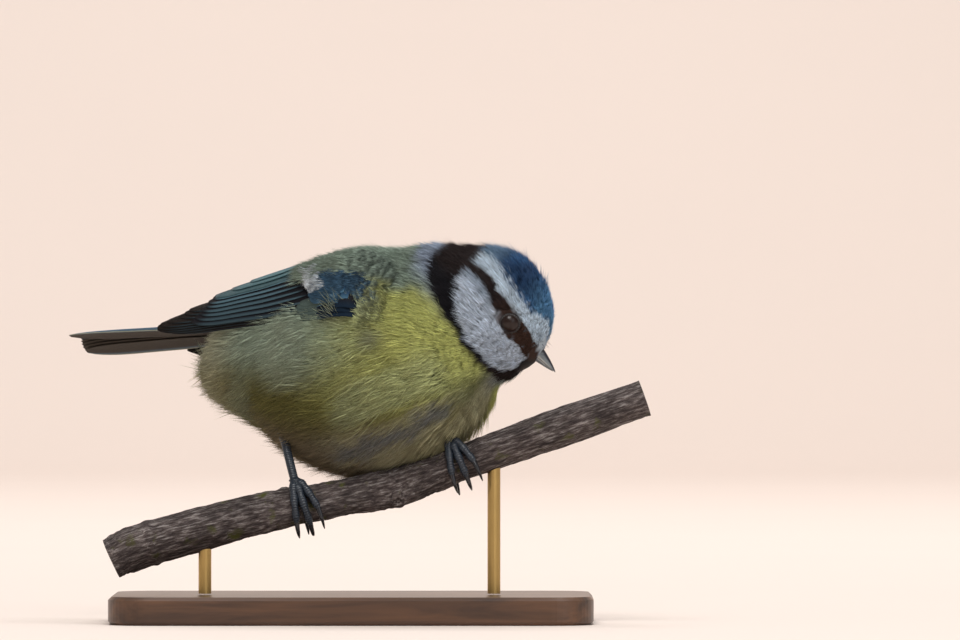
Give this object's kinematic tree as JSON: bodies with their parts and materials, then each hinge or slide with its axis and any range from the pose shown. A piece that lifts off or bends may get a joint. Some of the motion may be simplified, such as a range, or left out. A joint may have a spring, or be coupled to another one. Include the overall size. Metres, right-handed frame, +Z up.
{
  "type": "blue tit model",
  "caption": "Life-size still model of a blue tit, plump and leaning forward, gripping a short cut branch held by rods on a flat oblong base.",
  "frame": {"origin": "centre of the flat underside of the display base", "axes": "+X along the base's length, the way that the bird faces; -Y towards the viewer of the picture; +Z up"},
  "size_m": [0.1371, 0.0736, 0.0882],
  "materials": {
    "base_wood": "dark oiled wood with a satin finish and fine straight grain",
    "rod_brass": "satin brass rod, lightly brushed",
    "bark": "dark grey-brown bark with pale lengthwise cracks and a little green moss, cut ends bare",
    "body_plumage": "soft matt plumage, grey-green back, yellow-green breast and flank, dark stripe down the belly",
    "head_plumage": "soft matt plumage, blue cap, white cheek and brow, dark eye stripe, collar and bib",
    "eye": "very dark brown, wet gloss",
    "bill": "dark grey horn with paler cutting edges, satin",
    "tail_feathers": "blue-grey vanes with darker inner webs and a thin pale outer edge",
    "wing_feathers": "dark vanes with blue to teal outer edges and a white wing bar",
    "leg_skin": "slate-blue horny scales, satin"
  },
  "bodies": {
    "root": {"stand_base": "base_wood", "stand_rod_1": "rod_brass", "stand_rod_2": "rod_brass", "perch": "bark", "torso": "body_plumage", "neck": "body_plumage", "head": "head_plumage", "eye_right": "eye", "eye_left": "eye", "bill_upper": "bill", "bill_lower": "bill", "tail": "tail_feathers", "wing_right": "wing_feathers", "wing_left": "wing_feathers", "leg_right": "leg_skin", "leg_left": "leg_skin", "foot_right": "leg_skin", "foot_left": "leg_skin"}
  },
  "joints": []
}
